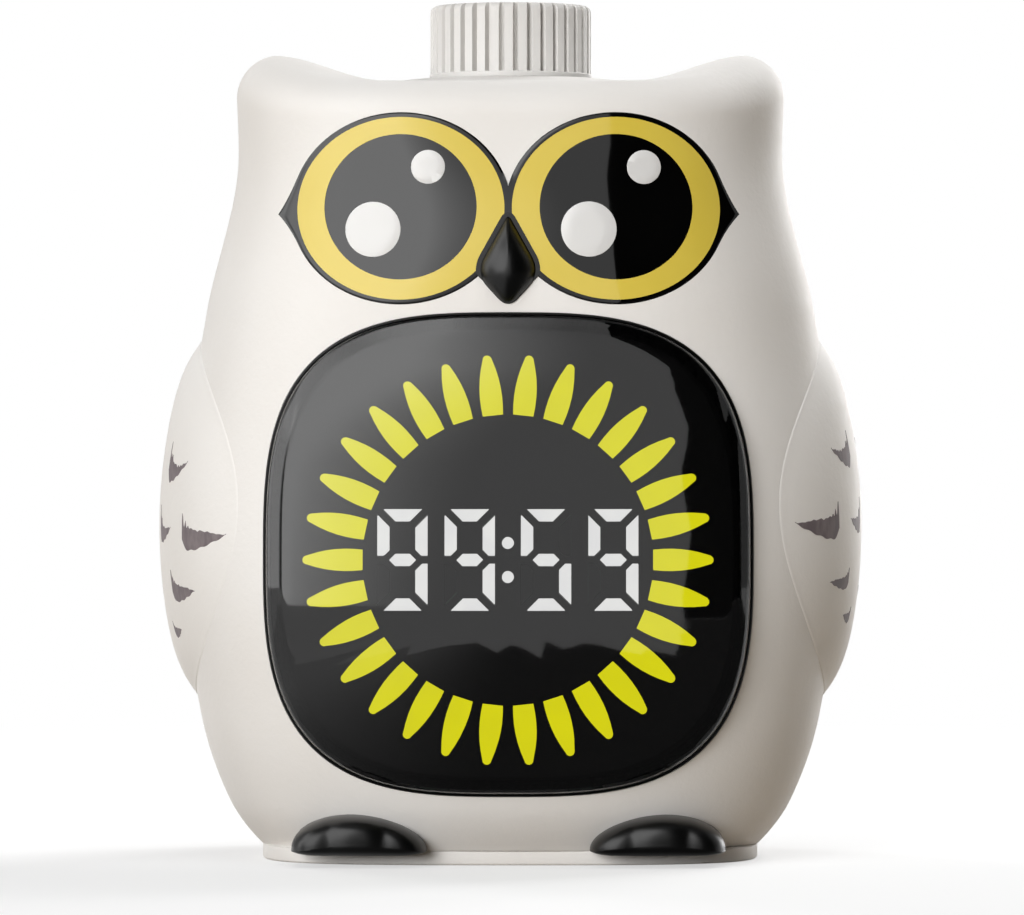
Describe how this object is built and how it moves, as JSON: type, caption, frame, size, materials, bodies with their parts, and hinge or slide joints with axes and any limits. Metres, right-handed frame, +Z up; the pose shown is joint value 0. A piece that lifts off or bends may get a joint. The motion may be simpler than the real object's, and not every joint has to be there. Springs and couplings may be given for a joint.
{
  "type": "visual timer",
  "caption": "Owl-shaped desk timer with a domed light display of petals and digits, glossy eyes and feet, wing covers and a push-and-turn knob on the head.",
  "frame": {"origin": "middle of the flat underside of the base", "axes": "+Z up, the face and display look along -Y, +X is the viewer's right"},
  "size_m": [0.0972, 0.0778, 0.1182],
  "materials": {
    "body_white": "fine matte",
    "gloss_black": "high gloss",
    "smoked_lens": "smoked gloss",
    "block_black": "dull black",
    "eye_yellow": "gloss",
    "glint_white": "gloss",
    "petal_glow": "lit",
    "digit_glow": "lit",
    "board_green": "solder mask",
    "led_white": "satin",
    "screw_steel": "plated",
    "inner_black": "moulded",
    "cone_paper": "paper",
    "cell_metal": "sleeved",
    "pad_rubber": "soft"
  },
  "bodies": {
    "body": {"front_shell": "body_white", "rear_shell": "body_white", "base_plate": "body_white", "base_pads": "pad_rubber", "left_wing": "body_white", "right_wing": "body_white", "left_eye_mask": "gloss_black", "right_eye_mask": "gloss_black", "iris_inlays": "eye_yellow", "eye_glints": "glint_white", "beak": "gloss_black", "left_foot": "gloss_black", "right_foot": "gloss_black", "display_bezel": "gloss_black", "display_lens": "smoked_lens", "light_guide_block": "block_black", "petal_light_pipes": "petal_glow", "lit_segments": "digit_glow", "dark_segments": "block_black", "display_board": "board_green", "display_leds": "led_white", "display_screws": "screw_steel", "encoder_housing": "screw_steel", "encoder_board": "board_green", "encoder_screws": "screw_steel", "main_board": "board_green", "main_chips": "inner_black", "main_screws": "screw_steel", "speaker_basket": "inner_black", "speaker_cone": "cone_paper", "speaker_magnet": "screw_steel", "volume_switch": "screw_steel", "volume_board": "board_green", "volume_screws": "screw_steel", "battery_box": "inner_black", "battery_cells": "cell_metal", "battery_contacts": "screw_steel", "battery_box_screws": "screw_steel", "shell_screws": "screw_steel", "base_screws": "screw_steel"},
    "plunger": {"encoder_plunger": "inner_black"},
    "knob": {"knob": "body_white", "encoder_shaft": "screw_steel"},
    "door": {"battery_door": "body_white"},
    "slider": {"volume_slider": "inner_black"}
  },
  "joints": [
    {"name": "knob_press", "type": "slide", "parent": "body", "child": "plunger", "axis": [0, 0, -1], "range_m": [0, 0.0005], "stiffness_N_per_m": 2000, "springref_m": -0.0005},
    {"name": "knob_turn", "type": "hinge", "parent": "plunger", "child": "knob", "pos_m": [0, 0, 0.1078], "axis": [0, 0, 1], "continuous": true},
    {"name": "battery_door_hinge", "type": "hinge", "parent": "body", "child": "door", "pos_m": [0, 0.03568, 0.0152], "axis": [-1, 0, 0], "range_deg": [0, 70]},
    {"name": "volume_slide", "type": "slide", "parent": "body", "child": "slider", "axis": [1, 0, 0], "range_m": [-0.002, 0.002]}
  ]
}
